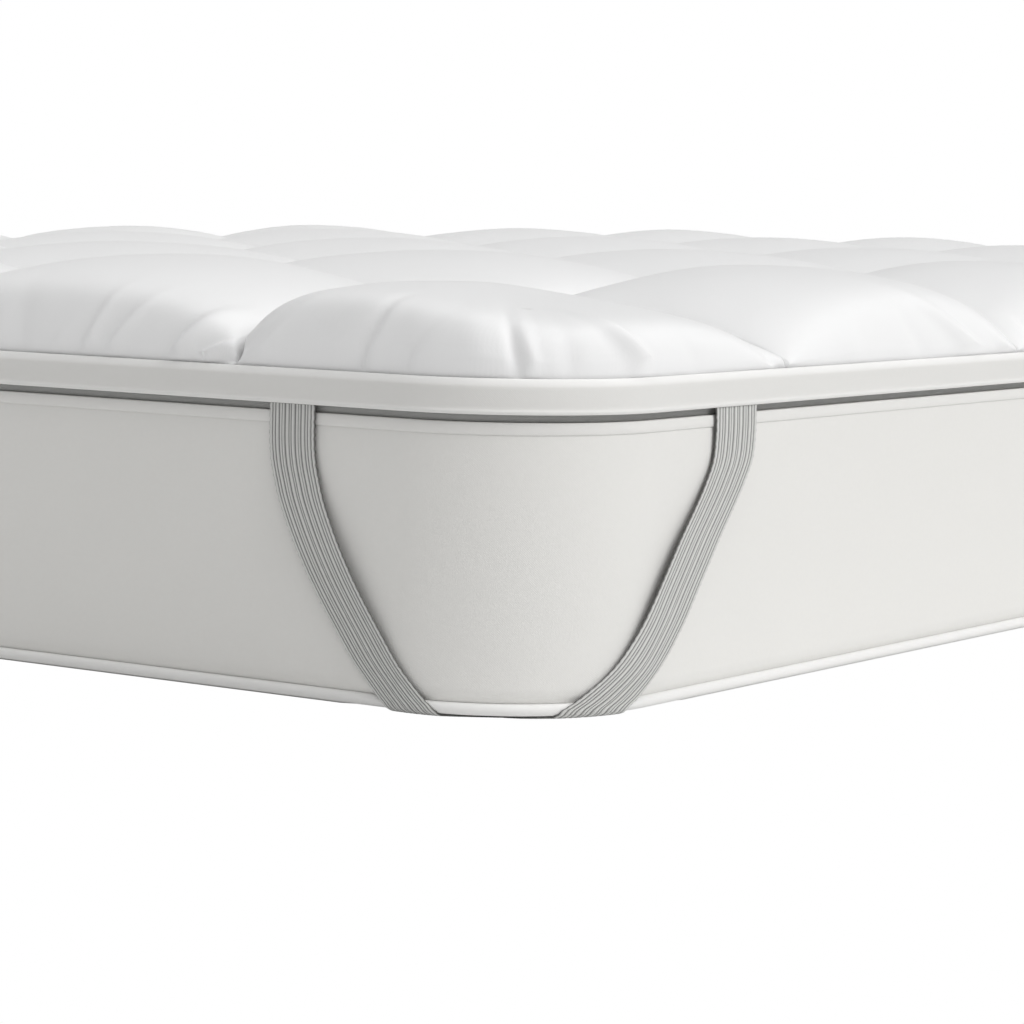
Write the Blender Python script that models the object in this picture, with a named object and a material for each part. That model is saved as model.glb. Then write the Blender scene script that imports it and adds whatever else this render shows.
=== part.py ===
"""Quilted mattress topper, held on a plain mattress by four elastic corner straps."""
# The topper is a box-quilted pad with a border band and an underside cloth. A ribbed elastic
# strap is sewn into the band's lower edge at each corner and passes under the mattress.
# Lengths are metres. The origin is on the floor under the middle, X runs along the short side
# and Y along the long side. "Out" is a distance outwards from the mattress's nominal outline.

from collections import namedtuple
from math import atan2, cos, pi, radians, sin, tan

import bmesh
import bpy
from mathutils import Vector

# Whole object
WIDTH = 1.5
LENGTH = 2.0
CORNER_RADIUS = 0.115
CORNER_STEPS = 8
CLEARANCE = 0.0003

# Mattress and its two edge tapes
MATTRESS_HEIGHT = 0.192
WALL_BULGE = 0.0015
SOLE_INSET = 0.009
TAPE_HEIGHT = 0.008
TAPE_PROUD = 0.0017
TAPE_SEAT = 0.0026
TAPE_LIFT = 0.002
TAPE_STEPS = 6
CREASE_RUN = 0.0035
WALL_STEPS = 6

# Topper's border band and underside cloth
RECESS = 0.0053
BAND_HEIGHT = 0.0231
BAND_OUT = 0.0045
BAND_THICKNESS = 0.003
BEAD_HEIGHT = 0.0036
BEAD_PROUD = 0.0008
BEAD_SHOULDER = 0.3
BAND_FOLD = 0.0045
FOLD_STEPS = 3
UNDERSIDE_INSET = 0.004
UNDERSIDE_ROUND = 0.0009

# Quilted pad
END_BOX_X = 0.258
END_BOX_Y = 0.289
BOXES_X = 5
BOXES_Y = 6
STEPS_PER_BOX = 8
CREST_UNEVEN = 0.0015
CREST_TURN_X = 2.1
CREST_TURN_Y = 1.3
CREST_START = 0.7
CORNER_TILT = 0.60
SEAM_HEIGHT = 0.022
SEAM_RUN = 0.12

# Elastic corner straps
STRAP_WIDTH = 0.040
STRAP_THICKNESS = 0.0015
RIB_RELIEF = 0.0005
RIB_COUNT = 14
INNER_STEPS = 4
EDGE_LEAN = radians(45)
UNDER_HALF = 0.058
UNDER_STEPS = 3
UNDER_SHIFT = 0.020
STRAP_BOW = 0.006
LONG_WALL_SPREAD = 1.31
SHORT_WALL_SPREAD = 0.94
STRAP_FLOOR_GAP = 0.0002
STRAP_OFF_TAPE = 0.0001
EDGE_EASE = 0.0004
GROOVE_MARGIN = 0.0006

BAND_BOTTOM = MATTRESS_HEIGHT + RECESS
BAND_TOP = BAND_BOTTOM + BAND_HEIGHT
CORNER_SAG = (CORNER_RADIUS + BAND_OUT) * (1 - cos(pi / 4 / CORNER_STEPS))
PAD_OUT = BAND_OUT - BAND_THICKNESS - CORNER_SAG - CLEARANCE
STRAP_OUT = TAPE_PROUD + CLEARANCE + STRAP_OFF_TAPE
STRAP_SOLE = STRAP_THICKNESS + STRAP_FLOOR_GAP
EDGE_RADIUS = TAPE_HEIGHT / 2 + EDGE_EASE
EDGE_LENGTH = EDGE_RADIUS * pi / 2

Row = namedtuple("Row", "out up")
Form = namedtuple("Form", "crest seam_x seam_y edge bulge")
Fall = namedtuple("Fall", "up along")
Station = namedtuple("Station", "along down lean turn spread")

# Crest height, how full the box is towards its inner seams and the pad's edge (less is
# fuller), and how far its side stands out over the band
INNER_BOX = Form(0.068, 0.9, 0.9, 0.9, 0.0)
SIDE_BOX = Form(0.068, 1.15, 1.15, 0.7, 0.008)
CORNER_BOX = Form(0.052, 1.0, 1.6, 0.4, 0.006)

# The strap's middle line down each wall: its height, and its distance round the outline from
# the corner's middle. Its level width on a wall is its own width times that wall's spread.
SHORT_WALL_FALL = (
    Fall(0.174, 0.181),
    Fall(0.159, 0.179),
    Fall(0.145, 0.1745),
    Fall(0.132, 0.1692),
    Fall(0.109, 0.157),
    Fall(0.082, 0.1413),
    Fall(0.054, 0.1237),
    Fall(0.032, 0.109),
    Fall(0.014, 0.093),
)
LONG_WALL_FALL = (
    Fall(0.178, 0.193),
    Fall(0.161, 0.189),
    Fall(0.145, 0.1765),
    Fall(0.132, 0.1635),
    Fall(0.109, 0.140),
    Fall(0.082, 0.118),
    Fall(0.054, 0.0995),
    Fall(0.032, 0.081),
    Fall(0.014, 0.0575),
)

COLLECTION_NAME = "mattress_topper"
CUTTER_NAME = "cutters"


def start_scene():
    """Empty the scene and make one collection for the pieces and one for the cutters."""
    for obj in list(bpy.data.objects):
        bpy.data.objects.remove(obj, do_unlink=True)
    made = []
    for name in (COLLECTION_NAME, CUTTER_NAME):
        collection = bpy.data.collections.new(name)
        bpy.context.scene.collection.children.link(collection)
        made.append(collection)
    return made


def cloth(name, colour, roughness):
    """A matt cloth finish in one colour."""
    material = bpy.data.materials.new(name)
    material.use_nodes = True
    shader = material.node_tree.nodes["Principled BSDF"]
    shader.inputs["Base Color"].default_value = (*colour, 1.0)
    shader.inputs["Roughness"].default_value = roughness
    shader.inputs["Metallic"].default_value = 0.0
    return material


def add_object(name, bm, collection, material=None):
    """Turn a bmesh into an object of its own with outward faces."""
    bmesh.ops.recalc_face_normals(bm, faces=bm.faces[:])
    if bm.calc_volume(signed=True) < 0:
        bmesh.ops.reverse_faces(bm, faces=bm.faces[:])
    mesh = bpy.data.meshes.new(name)
    bm.to_mesh(mesh)
    bm.free()
    obj = bpy.data.objects.new(name, mesh)
    collection.objects.link(obj)
    if material:
        mesh.materials.append(material)
    mesh.shade_smooth()
    mesh.set_sharp_from_angle(angle=radians(40))
    return obj


def grown(point, out):
    """The place at a given distance out, straight across the outline from a point."""
    core_x = WIDTH / 2 - CORNER_RADIUS
    core_y = LENGTH / 2 - CORNER_RADIUS
    core = Vector((max(-core_x, min(core_x, point.x)), max(-core_y, min(core_y, point.y))))
    away = Vector((point.x, point.y)) - core
    return core + away.normalized() * (CORNER_RADIUS + out)


def extruded(bm, cap, first_cap):
    """Extrude one end face and take away the face it came from, but for the very first."""
    made = bmesh.ops.extrude_face_region(bm, geom=[cap])["geom"]
    if cap != first_cap:
        bmesh.ops.delete(bm, geom=[cap], context="FACES_ONLY")
    faces = [item for item in made if isinstance(item, bmesh.types.BMFace)]
    verts = [item for item in made if isinstance(item, bmesh.types.BMVert)]
    return faces[0], verts


def raised_form(name, rows, collection, material, ring=False):
    """Extrude the rounded outline through rows of out and up; a ring has no caps."""
    bm = bmesh.new()
    bmesh.ops.create_grid(bm, x_segments=1, y_segments=1, size=1.0)
    bmesh.ops.scale(bm, vec=(WIDTH / 2, LENGTH / 2, 1.0), verts=bm.verts[:])
    bmesh.ops.bevel(bm, geom=bm.verts[:], offset=CORNER_RADIUS, offset_type="OFFSET",
                    segments=CORNER_STEPS, profile=0.5, affect="VERTICES")
    first_cap = bm.faces[:][0]
    cap, level = first_cap, bm.verts[:]
    for number, row in enumerate(rows):
        if number:
            cap, level = extruded(bm, cap, first_cap)
        for vert in level:
            place = grown(vert.co, row.out)
            vert.co = (place.x, place.y, row.up)
    if ring:
        loops = [*first_cap.edges, *cap.edges]
        bmesh.ops.delete(bm, geom=[first_cap, cap], context="FACES_ONLY")
        bmesh.ops.bridge_loops(bm, edges=loops)
    return add_object(name, bm, collection, material)


def mattress_rows():
    """The mattress's side from the sole up: a seat for each tape and a slight bulge between."""
    low_seam = TAPE_LIFT + TAPE_HEIGHT + CLEARANCE
    high_seam = MATTRESS_HEIGHT - TAPE_HEIGHT - CLEARANCE
    rows = [
        Row(-SOLE_INSET, 0.0),
        Row(-(SOLE_INSET + TAPE_SEAT) / 2, TAPE_LIFT / 3),
        Row(-TAPE_SEAT, TAPE_LIFT),
        Row(-TAPE_SEAT, low_seam),
    ]
    wall_low = low_seam + CREASE_RUN
    wall_high = high_seam - CREASE_RUN
    for step in range(WALL_STEPS + 1):
        part = step / WALL_STEPS
        rows.append(Row(WALL_BULGE * sin(pi * part), wall_low + (wall_high - wall_low) * part))
    rows += [
        Row(-TAPE_SEAT, high_seam),
        Row(-TAPE_SEAT, MATTRESS_HEIGHT - CLEARANCE * 2),
        Row(-TAPE_SEAT * 2, MATTRESS_HEIGHT),
    ]
    return rows


def tape_rows(bottom):
    """A rounded bead against the seat in the mattress's edge, from its lower to its upper seam."""
    reach = TAPE_PROUD + TAPE_SEAT - CLEARANCE
    middle = bottom + TAPE_HEIGHT / 2
    rows = []
    for step in range(TAPE_STEPS + 1):
        angle = pi * (step / TAPE_STEPS - 0.5)
        rows.append(Row(CLEARANCE - TAPE_SEAT + reach * cos(angle), middle + TAPE_HEIGHT / 2 * sin(angle)))
    return rows


def band_rows():
    """The band's side: a beaded lower seam, a flat face and a rounded fold at the top."""
    inner = BAND_OUT - BAND_THICKNESS
    rows = [
        Row(inner, BAND_BOTTOM),
        Row(BAND_OUT, BAND_BOTTOM),
        Row(BAND_OUT + BEAD_PROUD, BAND_BOTTOM + BEAD_HEIGHT * BEAD_SHOULDER),
        Row(BAND_OUT + BEAD_PROUD, BAND_BOTTOM + BEAD_HEIGHT * (1 - BEAD_SHOULDER)),
        Row(BAND_OUT, BAND_BOTTOM + BEAD_HEIGHT),
        Row(BAND_OUT, BAND_TOP - BAND_FOLD),
    ]
    for step in range(1, FOLD_STEPS + 1):
        angle = pi / 2 * step / FOLD_STEPS
        rows.append(Row(BAND_OUT - BAND_THICKNESS * (1 - cos(angle)),
                        BAND_TOP - BAND_FOLD * (1 - sin(angle))))
    return rows


def underside_rows():
    """A thin cloth panel with eased edges."""
    low = MATTRESS_HEIGHT + CLEARANCE
    high = BAND_BOTTOM - CLEARANCE
    return [
        Row(-UNDERSIDE_INSET - UNDERSIDE_ROUND, low),
        Row(-UNDERSIDE_INSET, low + UNDERSIDE_ROUND),
        Row(-UNDERSIDE_INSET, high - UNDERSIDE_ROUND),
        Row(-UNDERSIDE_INSET - UNDERSIDE_ROUND, high),
    ]


def seam_lines(side, end_box, boxes):
    """Places of the quilting lines on one axis: two end boxes and equal ones between."""
    middle_box = (side - 2 * end_box) / (boxes - 2)
    inner = [-side / 2 + end_box + middle_box * number for number in range(boxes - 1)]
    return [-side / 2 - PAD_OUT, *inner, side / 2 + PAD_OUT]


def place_in_box(index, lines):
    """Box number, part of the way over it, and the place, for an index counted in boxes."""
    box = min(int(index + 1e-4), len(lines) - 2)
    part = index - box
    place = lines[box] + (lines[box + 1] - lines[box]) * (1 - cos(pi * part)) / 2
    return box, part, place


def box_form(box_x, box_y):
    """The stuffed form of one box, by its place in the pad."""
    end_x = box_x in (0, BOXES_X - 1)
    end_y = box_y in (0, BOXES_Y - 1)
    if end_x and end_y:
        return CORNER_BOX
    return SIDE_BOX if end_x or end_y else INNER_BOX


def swell(box, part, boxes, fullness):
    """Rise towards the crest from an inner seam, and from the pad's own edge."""
    low_end = box == 0 and part < 0.5
    high_end = box == boxes - 1 and part > 0.5
    if low_end or high_end:
        return 1.0, 2 * min(part, 1 - part)
    return max(0.0, sin(pi * part)) ** fullness, 1.0


def rounded_corner(x, y, radius):
    """Move a point of the square-cornered grid on to the rings of a rounded corner."""
    from_x = WIDTH / 2 + PAD_OUT - abs(x)
    from_y = LENGTH / 2 + PAD_OUT - abs(y)
    ring = min(from_x, from_y)
    if max(from_x, from_y) >= radius or ring >= radius - 1e-6:
        return x, y
    turn = pi / 4 * (1 - (max(from_x, from_y) - ring) / (radius - ring))
    angle = turn if from_x < from_y else pi / 2 - turn
    centre_x = WIDTH / 2 + PAD_OUT - radius
    centre_y = LENGTH / 2 + PAD_OUT - radius
    new_x = centre_x + (radius - ring) * cos(angle)
    new_y = centre_y + (radius - ring) * sin(angle)
    return (new_x if x > 0 else -new_x), (new_y if y > 0 else -new_y)


def quilted_place(index_x, index_y, lines_x, lines_y):
    """Where one point of the pad's top lies, with its crown, drawn-in edge and sewn channels."""
    box_x, part_x, x = place_in_box(index_x, lines_x)
    box_y, part_y, y = place_in_box(index_y, lines_y)
    form = box_form(box_x, box_y)
    inner_x, edge_x = swell(box_x, part_x, BOXES_X, form.seam_x)
    inner_y, edge_y = swell(box_y, part_y, BOXES_Y, form.seam_y)
    edge = sin(pi / 2 * min(edge_x, edge_y))
    full = inner_x * inner_y * edge ** form.edge
    from_long_side = WIDTH / 2 + PAD_OUT - abs(x)
    to_side = min(from_long_side, LENGTH / 2 + PAD_OUT - abs(y))
    ramp = min(1.0, to_side / SEAM_RUN)
    seam = SEAM_HEIGHT * ramp * (2 - ramp)
    crest = form.crest + CREST_UNEVEN * sin(CREST_TURN_X * box_x + CREST_TURN_Y * box_y + CREST_START)
    if form is CORNER_BOX:
        crest *= 1 + CORNER_TILT * (from_long_side / END_BOX_X - 0.5)
    x, y = rounded_corner(x, y, CORNER_RADIUS + PAD_OUT)
    bulge = form.bulge * sin(pi * edge) * inner_x * inner_y
    if bulge > 0:
        core_x = max(-WIDTH / 2 + CORNER_RADIUS, min(WIDTH / 2 - CORNER_RADIUS, x))
        core_y = max(-LENGTH / 2 + CORNER_RADIUS, min(LENGTH / 2 - CORNER_RADIUS, y))
        away = Vector((x - core_x, y - core_y))
        if away.length > 0:
            shift = away.normalized() * bulge
            x, y = x + shift.x, y + shift.y
    return x, y, BAND_TOP + seam + (crest - seam) * full


def quilted_pad(collection, material):
    """One filled solid: a grid shaped into quilted boxes, with its edge drawn down in the band."""
    lines_x = seam_lines(WIDTH, END_BOX_X, BOXES_X)
    lines_y = seam_lines(LENGTH, END_BOX_Y, BOXES_Y)
    bm = bmesh.new()
    bmesh.ops.create_grid(bm, x_segments=BOXES_X * STEPS_PER_BOX,
                          y_segments=BOXES_Y * STEPS_PER_BOX, size=0.5)
    for vert in bm.verts:
        index_x = (vert.co.x + 0.5) * BOXES_X
        index_y = (vert.co.y + 0.5) * BOXES_Y
        vert.co = quilted_place(index_x, index_y, lines_x, lines_y)
    rim = [edge for edge in bm.edges if edge.is_boundary]
    made = bmesh.ops.extrude_edge_only(bm, edges=rim)["geom"]
    for item in made:
        if isinstance(item, bmesh.types.BMVert):
            item.co.z = BAND_BOTTOM
    bmesh.ops.holes_fill(bm, edges=[edge for edge in bm.edges if edge.is_boundary], sides=0)
    return add_object("quilted_pad", bm, collection, material)


def strap_stations(falls, shift, spread):
    """Half a strap, from its seam in the band to the middle of its run under the corner.

    A station has its distance along the outline from the corner's middle, its distance up from
    the middle of the mattress's lower edge (negative underneath), the strap's lean from straight
    down, the turn of its cross line from level and its spread. The run underneath is off centre
    by a shift.
    """
    level = EDGE_LENGTH / 2 - STRAP_SOLE - EDGE_RADIUS
    top = Fall(BAND_BOTTOM - CLEARANCE, falls[0].along)
    edge_run = [EDGE_LENGTH * (0.5 - step / 3) for step in range(4)]
    last_down = edge_run[-1]
    rows = [top, *falls]
    for down in edge_run:
        rows.append(Fall(down - level, UNDER_HALF + shift + (down - last_down) * tan(EDGE_LEAN)))
    stations = [Station(top.along, top.up + level, 0.0, 0.0, spread)]
    for before, here, after in zip(rows, rows[1:], rows[2:]):
        lean = atan2(before.along - after.along, before.up - after.up)
        stations.append(Station(here.along, here.up + level, lean, 0.0, spread))
    stations.append(Station(UNDER_HALF + shift, last_down, EDGE_LEAN, 0.0, spread))
    radius = UNDER_HALF / cos(EDGE_LEAN)
    for step in range(1, UNDER_STEPS + 1):
        lean = EDGE_LEAN + (pi / 2 - EDGE_LEAN) * step / UNDER_STEPS
        down = last_down - radius * (sin(lean) - sin(EDGE_LEAN))
        stations.append(Station(radius * cos(lean) + shift, down, lean, pi / 2 * step / UNDER_STEPS, spread))
    return stations


def on_mattress(along, down, raise_by):
    """The place on the skin of the first corner's wall, lower edge or sole, raised outwards."""
    quarter = CORNER_RADIUS * pi / 4
    angle = max(0.0, min(pi / 2, pi / 4 - along / CORNER_RADIUS))
    past = max(0.0, abs(along) - quarter)
    centre = Vector((WIDTH / 2 - CORNER_RADIUS, LENGTH / 2 - CORNER_RADIUS))
    if along > 0:
        centre.y -= past
    else:
        centre.x -= past
    tip = max(0.0, min(pi / 2, (EDGE_LENGTH / 2 - down) / EDGE_RADIUS))
    radius = EDGE_RADIUS + raise_by
    out = STRAP_OUT - EDGE_RADIUS + radius * cos(tip) - max(0.0, -down - EDGE_LENGTH / 2)
    up = STRAP_SOLE + EDGE_RADIUS - radius * sin(tip) + max(0.0, down - EDGE_LENGTH / 2)
    reach = CORNER_RADIUS + out
    return Vector((centre.x + reach * cos(angle), centre.y + reach * sin(angle), up))


def bow(down):
    """How far the strap stands off the wall between the two edges."""
    part = (down - EDGE_LENGTH / 2) / (LONG_WALL_FALL[0].up - EDGE_LENGTH / 2)
    if part <= 0 or part >= 1:
        return 0.0
    return STRAP_BOW * sin(pi * part) ** 2


def strap_ring(station, mirrored, section):
    """The points of a cross section, given as (across, raised) pairs, at one station."""
    squeeze = 1.0
    if station.down < -EDGE_LENGTH / 2:
        squeeze = (CORNER_RADIUS + station.down + EDGE_LENGTH / 2) / CORNER_RADIUS
    under_share = station.turn / (pi / 2)
    stretch = station.spread * (1 - under_share) + under_share / cos(station.lean - station.turn)
    points = []
    for across, raised in section:
        along = station.along + across * stretch * cos(station.turn) / squeeze
        down = station.down - across * stretch * sin(station.turn)
        place = on_mattress(-along if mirrored else along, down, raised + bow(down))
        points.append(place)
    return points


def ribbed_section():
    """A strap's cross section: ribs on the outer face, a plain inner face."""
    half = STRAP_WIDTH / 2
    outer = []
    for number in range(2 * RIB_COUNT + 1):
        across = half - STRAP_WIDTH * number / (2 * RIB_COUNT)
        valley = RIB_RELIEF if number % 2 == 0 else 0.0
        outer.append((across, STRAP_THICKNESS - valley))
    inner = [(STRAP_WIDTH * number / INNER_STEPS - half, 0.0) for number in range(INNER_STEPS + 1)]
    return outer + inner


def groove_section():
    """The plain section that the strap presses into the mattress, a little larger than it."""
    half = STRAP_WIDTH / 2 + GROOVE_MARGIN
    low = STRAP_THICKNESS + GROOVE_MARGIN
    steps = [2 * half * number / INNER_STEPS - half for number in range(INNER_STEPS + 1)]
    return [(across, low) for across in reversed(steps)] + [(across, -CLEARANCE) for across in steps]


def strap_form(name, section, side_x, side_y, collection, material=None):
    """Extrude a section's face through every station of one strap, wall to wall."""
    route = [(station, False) for station in strap_stations(LONG_WALL_FALL, -UNDER_SHIFT, LONG_WALL_SPREAD)]
    short_half = strap_stations(SHORT_WALL_FALL, UNDER_SHIFT, SHORT_WALL_SPREAD)
    route += [(station, True) for station in reversed(short_half[:-1])]
    bm = bmesh.new()
    order = bm.verts.layers.int.new("order")
    ring = [bm.verts.new(place) for place in strap_ring(*route[0], section)]
    for number, vert in enumerate(ring):
        vert[order] = number
    first_cap = cap = bm.faces.new(ring)
    for station, mirrored in route[1:]:
        places = strap_ring(station, mirrored, section)
        cap, level = extruded(bm, cap, first_cap)
        for vert in level:
            vert.co = places[vert[order]]
    for vert in bm.verts:
        vert.co.x *= side_x
        vert.co.y *= side_y
    return add_object(name, bm, collection, material)


def cut(obj, cutter):
    """Take the cutter's form out of an object."""
    cutter.hide_render = True
    cutter.display_type = "WIRE"
    modifier = obj.modifiers.new("groove_" + cutter.name, "BOOLEAN")
    modifier.operation = "DIFFERENCE"
    modifier.solver = "EXACT"
    modifier.object = cutter


def build():
    """Make every piece of the topper and of the mattress under it."""
    pieces, cutters = start_scene()
    ticking = cloth("mattress_cloth", (0.76, 0.77, 0.79), 0.85)
    binding = cloth("edge_tape", (0.84, 0.84, 0.85), 0.7)
    quilting = cloth("quilted_cloth", (0.87, 0.87, 0.88), 0.65)
    gusset = cloth("band_cloth", (0.80, 0.80, 0.82), 0.75)
    backing = cloth("underside_cloth", (0.55, 0.55, 0.57), 0.9)
    elastic = cloth("ribbed_elastic", (0.58, 0.58, 0.60), 0.8)

    mattress = raised_form("mattress", mattress_rows(), pieces, ticking)
    raised_form("mattress_bottom_tape", tape_rows(TAPE_LIFT), pieces, binding, ring=True)
    raised_form("mattress_top_tape", tape_rows(MATTRESS_HEIGHT - TAPE_HEIGHT), pieces, binding, ring=True)
    raised_form("underside_cloth", underside_rows(), pieces, backing)
    raised_form("border_band", band_rows(), pieces, gusset, ring=True)
    quilted_pad(pieces, quilting)

    corners = ((1, -1), (1, 1), (-1, 1), (-1, -1))
    for number, (side_x, side_y) in enumerate(corners, start=1):
        strap_form("corner_strap_%d" % number, ribbed_section(), side_x, side_y, pieces, elastic)
        groove = strap_form("strap_groove_%d" % number, groove_section(), side_x, side_y, cutters)
        cut(mattress, groove)


build()
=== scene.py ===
"""A box-quilted mattress topper, strapped by its corners to a plain mattress."""

import math
import random
from collections import namedtuple

import bpy
import numpy as np
from mathutils import Matrix, Vector, noise


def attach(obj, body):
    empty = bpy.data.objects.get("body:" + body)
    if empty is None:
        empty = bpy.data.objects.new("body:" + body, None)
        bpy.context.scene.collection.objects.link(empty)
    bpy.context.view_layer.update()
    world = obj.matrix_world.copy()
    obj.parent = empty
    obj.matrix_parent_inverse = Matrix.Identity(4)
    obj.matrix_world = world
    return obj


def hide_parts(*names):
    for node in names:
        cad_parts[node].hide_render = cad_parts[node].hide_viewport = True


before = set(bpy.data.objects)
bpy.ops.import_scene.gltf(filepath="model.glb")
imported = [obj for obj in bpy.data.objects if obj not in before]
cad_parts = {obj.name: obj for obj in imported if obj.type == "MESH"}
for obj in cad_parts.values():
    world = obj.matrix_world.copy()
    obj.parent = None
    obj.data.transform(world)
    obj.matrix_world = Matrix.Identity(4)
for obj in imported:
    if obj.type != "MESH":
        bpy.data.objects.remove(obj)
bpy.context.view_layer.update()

# The mattress under the topper: a plain soft block in an off-white woven cover, with rounded
# upright corners. Its side panel stands a little full between the two taped edges, and is
# drawn in along both of them by the sewing.
WIDTH = 1.5
LENGTH = 2.0
CORNER_RADIUS = 0.115
MATTRESS_HEIGHT = 0.192
WALL_FULLNESS = 0.0015
WALL_ROWS = 26
SEWN_IN = 0.0026
TOP_SEWN_IN = 0.0004
SEWN_EASE = 0.007
SOLE_INSETS = (CORNER_RADIUS, 0.1, 0.085, 0.07, 0.055, 0.04, 0.027, 0.017, 0.009)
SOLE_ROUNDING = (-0.0055, 0.0006, 0.0)
TOP_INSETS = (0.0024, 0.03, 0.07, CORNER_RADIUS)
SOLE_LIFT = 0.0023
SOLE_PRESSED = 0.112
SOLE_EASE = 0.035
TAPE_HEIGHT = 0.008
TAPE_LIFT = 0.002
HAIR = 0.0003
CORNER_COLUMNS = 28
SIDE_SPACING = 0.018
WAVE_STRETCH = 0.6
MATTRESS_COLOUR = (0.840, 0.832, 0.805)

Station = namedtuple("Station", "core_x core_y away_x away_y run")


def outline_stations():
    """Places round the rounded outline, each with its way out and its distance run."""
    reach_x = WIDTH / 2 - CORNER_RADIUS
    reach_y = LENGTH / 2 - CORNER_RADIUS
    quarter = math.pi / 2 * CORNER_RADIUS
    corners = (
        (1, -1, -90, 2 * reach_y),
        (1, 1, 0, 2 * reach_x),
        (-1, 1, 90, 2 * reach_y),
        (-1, -1, 180, 2 * reach_x),
    )
    stations = []
    run = 0.0
    for side_x, side_y, first_angle, side in corners:
        core = Vector((side_x * reach_x, side_y * reach_y))
        for step in range(CORNER_COLUMNS + 1):
            angle = math.radians(first_angle + 90.0 * step / CORNER_COLUMNS)
            away = Vector((math.cos(angle), math.sin(angle)))
            stations.append(Station(*core, *away, run + quarter * step / CORNER_COLUMNS))
        run += quarter
        along = Vector((-away.y, away.x))
        side_steps = round(side / SIDE_SPACING)
        for step in range(1, side_steps):
            place = core + along * side * step / side_steps
            stations.append(Station(*place, *away, run + side * step / side_steps))
        run += side
    stations.append(stations[0]._replace(run=run))
    return np.array(stations)


def unevenness(points, size, seed):
    """Smooth seeded noise from -1 to 1 at each point, with waves of about the given size."""
    shift = Vector((seed * 3.17, seed * 1.73, seed * 2.39))
    return np.array([noise.noise(Vector(point) / size + shift) for point in points])


def strip_numbers(piece, columns, rows):
    """How many columns and rows along each point of a flat grid lies."""
    flat = np.empty(len(piece.data.vertices) * 3)
    piece.data.vertices.foreach_get("co", flat)
    flat = flat.reshape(-1, 3) + 0.5
    return flat[:, 0] * columns, flat[:, 1] * rows


def cloth_strip(name, columns, rows):
    """A flat strip of cloth as a new grid, with the column and row number of each point."""
    bpy.ops.object.select_all(action="DESELECT")
    bpy.ops.mesh.primitive_grid_add(x_subdivisions=columns, y_subdivisions=rows, size=1.0)
    piece = bpy.context.active_object
    piece.name = name
    piece.data.name = name
    column, row = strip_numbers(piece, columns, rows)
    return piece, np.rint(column).astype(int), np.rint(row).astype(int)


def lay_points(piece, points):
    """Put a piece's points where they go."""
    piece.data.vertices.foreach_set("co", np.ascontiguousarray(points, float).ravel())
    piece.data.update()


def lay_pattern(piece, across, along):
    """Give the cloth its flat size in metres as a UV map, from values for each point."""
    corners = np.empty(len(piece.data.loops), int)
    piece.data.loops.foreach_get("vertex_index", corners)
    flat = np.stack([across[corners], along[corners]], axis=1)
    piece.data.uv_layers[0].name = "cloth"
    piece.data.uv_layers[0].data.foreach_set("uv", flat.ravel())


def sew_shut(piece, sharp_angle=50):
    """Join the ends of a piece, close its holes, turn its faces outwards and smooth it."""
    bpy.ops.object.mode_set(mode="EDIT")
    bpy.ops.mesh.select_mode(type="VERT")
    bpy.ops.mesh.select_all(action="SELECT")
    bpy.ops.mesh.remove_doubles(threshold=1e-6)
    bpy.ops.mesh.fill_holes(sides=0)
    bpy.ops.mesh.select_all(action="SELECT")
    bpy.ops.mesh.normals_make_consistent(inside=False)
    bpy.ops.object.mode_set(mode="OBJECT")
    bpy.ops.object.shade_smooth_by_angle(angle=math.radians(sharp_angle))


def round_piece(name, section, waviness=0.0, wave_length=0.08, seed=1):
    """A strip bent round the outline and sewn into a ring.

    The section gives its outward place and height, row by row, and the share of the
    waviness that each row takes.
    """
    stations = outline_stations()
    section = np.array(section)
    piece, column, row = cloth_strip(name, len(stations) - 1, len(section) - 1)
    core = stations[column][:, 0:2]
    away = stations[column][:, 2:4]
    out = section[row][:, 0]
    up = section[row][:, 1]
    if waviness:
        at_wall = core + away * CORNER_RADIUS
        places = np.column_stack([at_wall, up * WAVE_STRETCH])
        out = out + waviness * section[row][:, 2] * unevenness(places, wave_length, seed)
    places = core + away * (CORNER_RADIUS + out)[:, None]
    lay_points(piece, np.column_stack([places, up]))
    steps = np.hypot(*np.diff(section[:, 0:2], axis=0).T)
    across = np.concatenate([[0.0], np.cumsum(steps)])
    lay_pattern(piece, stations[column][:, 4], across[row])
    sew_shut(piece)
    return piece


def new_group(name, inputs, outputs):
    """An empty shader node group with named number, colour and vector sockets."""
    group = bpy.data.node_groups.new(name, "ShaderNodeTree")
    kinds = {"number": "NodeSocketFloat", "vector": "NodeSocketVector", "colour": "NodeSocketColor"}
    for direction, sockets in (("INPUT", inputs), ("OUTPUT", outputs)):
        for socket, kind in sockets:
            group.interface.new_socket(socket, in_out=direction, socket_type=kinds[kind])
    start = group.nodes.new("NodeGroupInput")
    end = group.nodes.new("NodeGroupOutput")
    return group, start, end


def maths(tree, operation, first, second=None, third=None):
    """A maths node; each value is a number or the socket it comes from."""
    node = tree.nodes.new("ShaderNodeMath")
    node.operation = operation
    for number, value in enumerate((first, second, third)):
        if isinstance(value, bpy.types.NodeSocket):
            tree.links.new(value, node.inputs[number])
        elif value is not None:
            node.inputs[number].default_value = value
    return node.outputs[0]


def cloudy(tree, vector, scale, detail=3.0):
    """Soft noise from 0 to 1."""
    node = tree.nodes.new("ShaderNodeTexNoise")
    node.inputs["Scale"].default_value = scale
    node.inputs["Detail"].default_value = detail
    tree.links.new(vector, node.inputs["Vector"])
    return node.outputs["Fac"]


SLUB_SCALE = 420.0
CLOUD_SCALE = 9.0
SPECK_SCALE = 260.0
SPECK_SHARE = 0.6


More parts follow.
